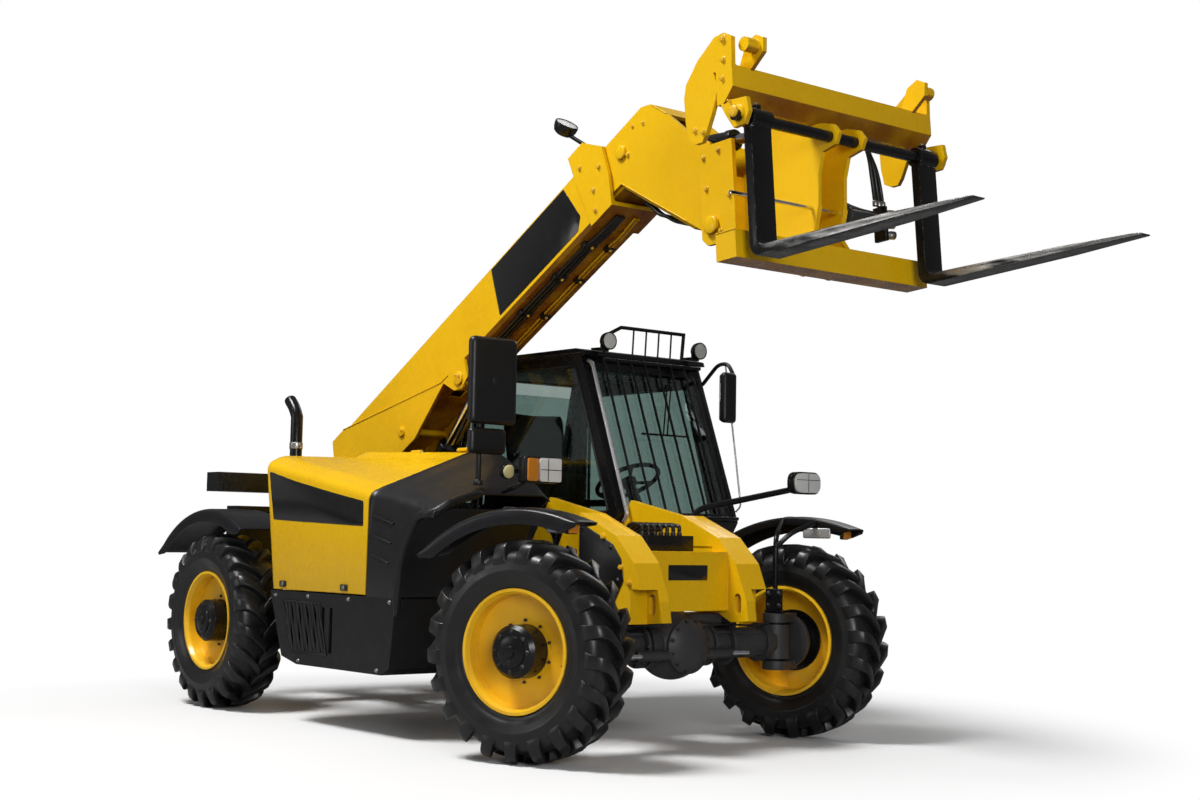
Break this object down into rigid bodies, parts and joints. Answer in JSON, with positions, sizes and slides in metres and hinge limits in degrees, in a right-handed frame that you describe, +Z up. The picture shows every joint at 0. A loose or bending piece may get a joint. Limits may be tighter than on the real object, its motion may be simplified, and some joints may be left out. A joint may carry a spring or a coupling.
{
  "type": "telehandler",
  "caption": "Compact side-engine telehandler: central telescopic boom with sliding forks on a floating carriage, glazed cab, engine pod, steered wheels.",
  "frame": {"origin": "on the ground, under the middle of the whole machine's bounding box", "axes": "+X forward to the fork tips, +Y to the machine's left, +Z up"},
  "size_m": [5.641, 2.3434, 3.2189],
  "materials": {
    "paint_yellow": "satin",
    "paint_black": "satin",
    "plastic_black": "matte",
    "plastic_grey": "matte",
    "axle_grey": "matte",
    "tyre_rubber": "matte",
    "window_glass": "gloss",
    "rod_chrome": "polished",
    "fork_steel": "semi-matte",
    "seat_vinyl": "matte",
    "lamp_glass": "gloss"
  },
  "bodies": {
    "chassis": {"chassis_frame": "paint_yellow", "cross_members": "paint_yellow", "front_axle": "axle_grey", "rear_axle": "axle_grey", "engine_block": "axle_grey", "side_skirt": "plastic_grey", "pod_front_cover": "plastic_black", "exhaust_stack": "paint_black", "rear_crossbar": "paint_black", "rear_mudguards": "plastic_black", "cab_frame": "paint_black", "cab_glass": "window_glass", "cab_guards": "paint_black", "driver_seat": "seat_vinyl", "steering_console": "plastic_black", "mirrors": "plastic_black", "lamps": "lamp_glass"},
    "engine_hood": {"engine_hood": "paint_yellow"},
    "cab_door": {"cab_door": "paint_black", "door_glass": "window_glass"},
    "boom_outer": {"boom_outer": "paint_yellow", "boom_lamp": "lamp_glass"},
    "boom_inner": {"boom_inner": "paint_yellow"},
    "lift_barrel": {"lift_barrel": "paint_black"},
    "lift_rod": {"lift_rod": "rod_chrome"},
    "tilt_barrel": {"tilt_barrel": "paint_black"},
    "tilt_rod": {"tilt_rod": "rod_chrome"},
    "carriage": {"fork_carriage": "paint_yellow", "fork_shaft": "fork_steel"},
    "fork_right": {"fork_right": "fork_steel"},
    "fork_left": {"fork_left": "fork_steel"},
    "knuckle_front_right": {"knuckle_front_right": "axle_grey", "front_mudguard_right": "plastic_black"},
    "wheel_front_right": {"tyre_front_right": "tyre_rubber", "rim_front_right": "paint_yellow", "hub_front_right": "paint_black"},
    "knuckle_front_left": {"knuckle_front_left": "axle_grey", "front_mudguard_left": "plastic_black"},
    "wheel_front_left": {"tyre_front_left": "tyre_rubber", "rim_front_left": "paint_yellow", "hub_front_left": "paint_black"},
    "knuckle_rear_right": {"knuckle_rear_right": "axle_grey"},
    "wheel_rear_right": {"tyre_rear_right": "tyre_rubber", "rim_rear_right": "paint_yellow", "hub_rear_right": "paint_black"},
    "knuckle_rear_left": {"knuckle_rear_left": "axle_grey"},
    "wheel_rear_left": {"tyre_rear_left": "tyre_rubber", "rim_rear_left": "paint_yellow", "hub_rear_left": "paint_black"}
  },
  "joints": [
    {"name": "boom_lift", "type": "hinge", "parent": "chassis", "child": "boom_outer", "pos_m": [-2.27148, 0, 1.271], "axis": [0, -1, 0], "range_deg": [-30.5, 30.5]},
    {"name": "boom_extend", "type": "slide", "parent": "boom_outer", "child": "boom_inner", "axis": [0.8704, 0, 0.4924], "range_m": [0, 2]},
    {"name": "carriage_tilt", "type": "hinge", "parent": "boom_inner", "child": "carriage", "pos_m": [0.99975, 0, 2.44044], "axis": [0, 1, 0], "range_deg": [-20, 75]},
    {"name": "lift_barrel_swing", "type": "hinge", "parent": "chassis", "child": "lift_barrel", "pos_m": [-1.98048, 0, 0.75], "axis": [0, -1, 0], "range_deg": [-26.75, 26.75]},
    {"name": "lift_rod_stroke", "type": "slide", "parent": "lift_barrel", "child": "lift_rod", "axis": [0.6516, 0, 0.7586], "range_m": [-0.2955, 0.2955]},
    {"name": "tilt_barrel_swing", "type": "hinge", "parent": "boom_inner", "child": "tilt_barrel", "pos_m": [0.30042, 0, 2.90075], "axis": [0, -1, 0], "range_deg": [-23.97, 6.76]},
    {"name": "tilt_rod_stroke", "type": "slide", "parent": "tilt_barrel", "child": "tilt_rod", "axis": [0.9991, 0, -0.0425], "range_m": [-0.1129, 0.4177]},
    {"name": "fork_right_slide", "type": "slide", "parent": "carriage", "child": "fork_right", "axis": [0, 1, 0], "range_m": [-0.016, 0.369]},
    {"name": "fork_left_slide", "type": "slide", "parent": "carriage", "child": "fork_left", "axis": [0, 1, 0], "range_m": [-0.369, 0.016]},
    {"name": "front_steer_left", "type": "hinge", "parent": "chassis", "child": "knuckle_front_left", "pos_m": [0.56952, 0.71, 0.49], "axis": [0, 0, 1], "range_deg": [-48, 16]},
    {"name": "front_steer_right", "type": "hinge", "parent": "chassis", "child": "knuckle_front_right", "pos_m": [0.56952, -0.71, 0.49], "axis": [0, 0, 1], "range_deg": [-48.5, 16.5]},
    {"name": "rear_steer_left", "type": "hinge", "parent": "chassis", "child": "knuckle_rear_left", "pos_m": [-2.23048, 0.71, 0.49], "axis": [0, 0, 1], "range_deg": [-32, 32]},
    {"name": "rear_steer_right", "type": "hinge", "parent": "chassis", "child": "knuckle_rear_right", "pos_m": [-2.23048, -0.71, 0.49], "axis": [0, 0, 1], "range_deg": [-32.5, 32.5]},
    {"name": "wheel_front_right_spin", "type": "hinge", "parent": "knuckle_front_right", "child": "wheel_front_right", "pos_m": [0.56952, -0.71, 0.49], "axis": [-0.309, 0.9511, 0], "continuous": true},
    {"name": "wheel_front_left_spin", "type": "hinge", "parent": "knuckle_front_left", "child": "wheel_front_left", "pos_m": [0.56952, 0.71, 0.49], "axis": [-0.2756, 0.9613, 0], "continuous": true},
    {"name": "wheel_rear_right_spin", "type": "hinge", "parent": "knuckle_rear_right", "child": "wheel_rear_right", "pos_m": [-2.23048, -0.71, 0.49], "axis": [0, 1, 0], "continuous": true},
    {"name": "wheel_rear_left_spin", "type": "hinge", "parent": "knuckle_rear_left", "child": "wheel_rear_left", "pos_m": [-2.23048, 0.71, 0.49], "axis": [0, 1, 0], "continuous": true},
    {"name": "cab_door_swing", "type": "hinge", "parent": "chassis", "child": "cab_door", "pos_m": [-1.43048, 1.074, 1.3], "axis": [0, 0, 1], "range_deg": [0, 95]},
    {"name": "engine_hood_lift", "type": "hinge", "parent": "chassis", "child": "engine_hood", "pos_m": [-1.08048, -0.36, 1.44], "axis": [-1, 0, 0], "range_deg": [0, 60]}
  ],
  "couplings": [
    {"joint": "lift_barrel_swing", "follows": "boom_lift", "ratio": 0.86069},
    {"joint": "lift_rod_stroke", "follows": "boom_lift", "m_per_rad": 0.55132},
    {"joint": "tilt_barrel_swing", "follows": "carriage_tilt", "ratio": -0.31292},
    {"joint": "tilt_rod_stroke", "follows": "carriage_tilt", "m_per_rad": 0.31758},
    {"joint": "front_steer_right", "follows": "front_steer_left", "ratio": 1},
    {"joint": "rear_steer_right", "follows": "rear_steer_left", "ratio": 1}
  ]
}
